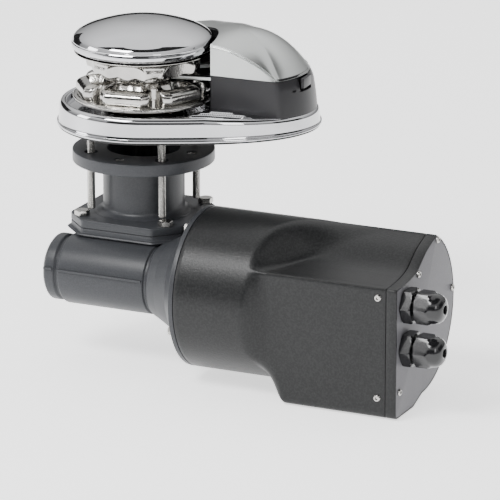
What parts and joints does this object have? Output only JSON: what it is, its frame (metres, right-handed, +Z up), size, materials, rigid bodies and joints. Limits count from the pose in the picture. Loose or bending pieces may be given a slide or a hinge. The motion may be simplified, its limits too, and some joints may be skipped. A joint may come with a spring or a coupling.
{
  "type": "anchor windlass",
  "caption": "Vertical anchor windlass: deck unit with chain gypsy and hawse cover, deck studs, and a worm gearbox with its electric motor lying below deck.",
  "frame": {"origin": "on the gypsy and main shaft axis, in the plane of the deck's top surface, where the base gasket rests", "axes": "+Z up out of the deck along the gypsy axis, +X along the motor from the worm end cap to the cable glands, so the motor lies on the -Y side; the deck unit's long axis is turned 25 degrees from +X towards +Y"},
  "size_m": [0.449, 0.253, 0.332],
  "materials": {
    "polished_stainless": "mirror polished stainless steel",
    "satin_stainless": "satin stainless steel",
    "stainless_fixing": "bright stainless steel, machined",
    "ground_steel": "ground and oiled steel",
    "bronze": "machined bronze",
    "copper": "copper and winding lacquer",
    "grey_casting": "slate grey powder coat on cast aluminium, fine texture",
    "end_plate_paint": "mid grey powder coat",
    "black_paint": "near black grained powder coat",
    "cover_plastic": "dark grey satin moulding",
    "black_nylon": "gloss black nylon",
    "black_rubber": "black rubber"
  },
  "bodies": {
    "root": {"deck_gasket": "black_rubber", "deck_base": "polished_stainless", "shaft_seal": "black_rubber", "stripper_finger": "satin_stainless", "stripper_screw_1": "stainless_fixing", "stripper_screw_2": "stainless_fixing", "hawse_body": "cover_plastic", "lever_pin": "stainless_fixing", "lever_spring": "ground_steel", "deck_stud_1": "stainless_fixing", "deck_stud_2": "stainless_fixing", "deck_stud_3": "stainless_fixing", "deck_stud_4": "stainless_fixing", "gearbox_column": "grey_casting", "gearbox_gasket": "black_rubber", "gearbox_body": "grey_casting", "worm_end_cap": "grey_casting", "column_bolt_1": "stainless_fixing", "column_bolt_2": "stainless_fixing", "column_bolt_3": "stainless_fixing", "column_bolt_4": "stainless_fixing", "upper_bearing": "ground_steel", "lower_bearing": "ground_steel", "worm_bearing_front": "ground_steel", "worm_bearing_rear": "ground_steel", "motor_bolt_1": "stainless_fixing", "motor_bolt_2": "stainless_fixing", "motor_bolt_3": "stainless_fixing", "motor_bolt_4": "stainless_fixing", "motor_yoke": "black_paint", "brush_plate": "cover_plastic", "terminal_stud_1": "copper", "terminal_stud_2": "copper", "motor_cover": "black_paint", "end_plate": "end_plate_paint", "end_plate_screw_1": "stainless_fixing", "end_plate_screw_2": "stainless_fixing", "end_plate_screw_3": "stainless_fixing", "end_plate_screw_4": "stainless_fixing", "gland_body_1": "black_nylon", "gland_body_2": "black_nylon", "gland_nut_1": "black_nylon", "gland_nut_2": "black_nylon"},
    "drive": {"main_shaft": "stainless_fixing", "shaft_key": "ground_steel", "lower_clutch_cone": "bronze", "worm_wheel": "bronze", "wheel_key": "ground_steel"},
    "rotor": {"worm_shaft": "ground_steel", "shaft_coupling": "ground_steel", "armature": "copper", "commutator": "copper"},
    "gypsy": {"gypsy_lower": "polished_stainless", "gypsy_upper": "polished_stainless"},
    "upper_cone": {"upper_clutch_cone": "bronze"},
    "cap": {"gypsy_cap": "polished_stainless"},
    "lid": {"hawse_lid": "satin_stainless"},
    "latch": {"lid_latch": "cover_plastic"},
    "lever": {"rope_lever": "satin_stainless"}
  },
  "joints": [
    {"name": "rotor_spin", "type": "hinge", "parent": "root", "child": "rotor", "pos_m": [0, -0.057, -0.1394], "axis": [1, 0, 0], "continuous": true},
    {"name": "shaft_spin", "type": "hinge", "parent": "root", "child": "drive", "pos_m": [0, 0, 0], "axis": [0, 0, 1], "continuous": true},
    {"name": "gypsy_freewheel", "type": "hinge", "parent": "drive", "child": "gypsy", "pos_m": [0, 0, 0.05], "axis": [0, 0, 1], "continuous": true},
    {"name": "clutch_lift", "type": "slide", "parent": "drive", "child": "upper_cone", "axis": [0, 0, 1], "range_m": [0, 0.0015]},
    {"name": "cap_turn", "type": "hinge", "parent": "upper_cone", "child": "cap", "pos_m": [0, 0, 0.09], "axis": [0, 0, 1], "range_deg": [0, 270]},
    {"name": "lid_lift", "type": "slide", "parent": "root", "child": "lid", "axis": [0, 0, 1], "range_m": [0, 0.06]},
    {"name": "latch_press", "type": "slide", "parent": "root", "child": "latch", "axis": [-0.9971, -0.0762, 0], "range_m": [0, 0.002], "stiffness_N_per_m": 400},
    {"name": "lever_swing", "type": "hinge", "parent": "root", "child": "lever", "pos_m": [0.06285, 0.07344, 0.0515], "axis": [0, 0, 1], "range_deg": [-25, 0], "stiffness_Nm_per_rad": 0.3, "springref_deg": 5.73}
  ],
  "couplings": [
    {"joint": "shaft_spin", "follows": "rotor_spin", "ratio": 0.027778},
    {"joint": "clutch_lift", "follows": "cap_turn", "m_per_rad": 0.00031831}
  ]
}
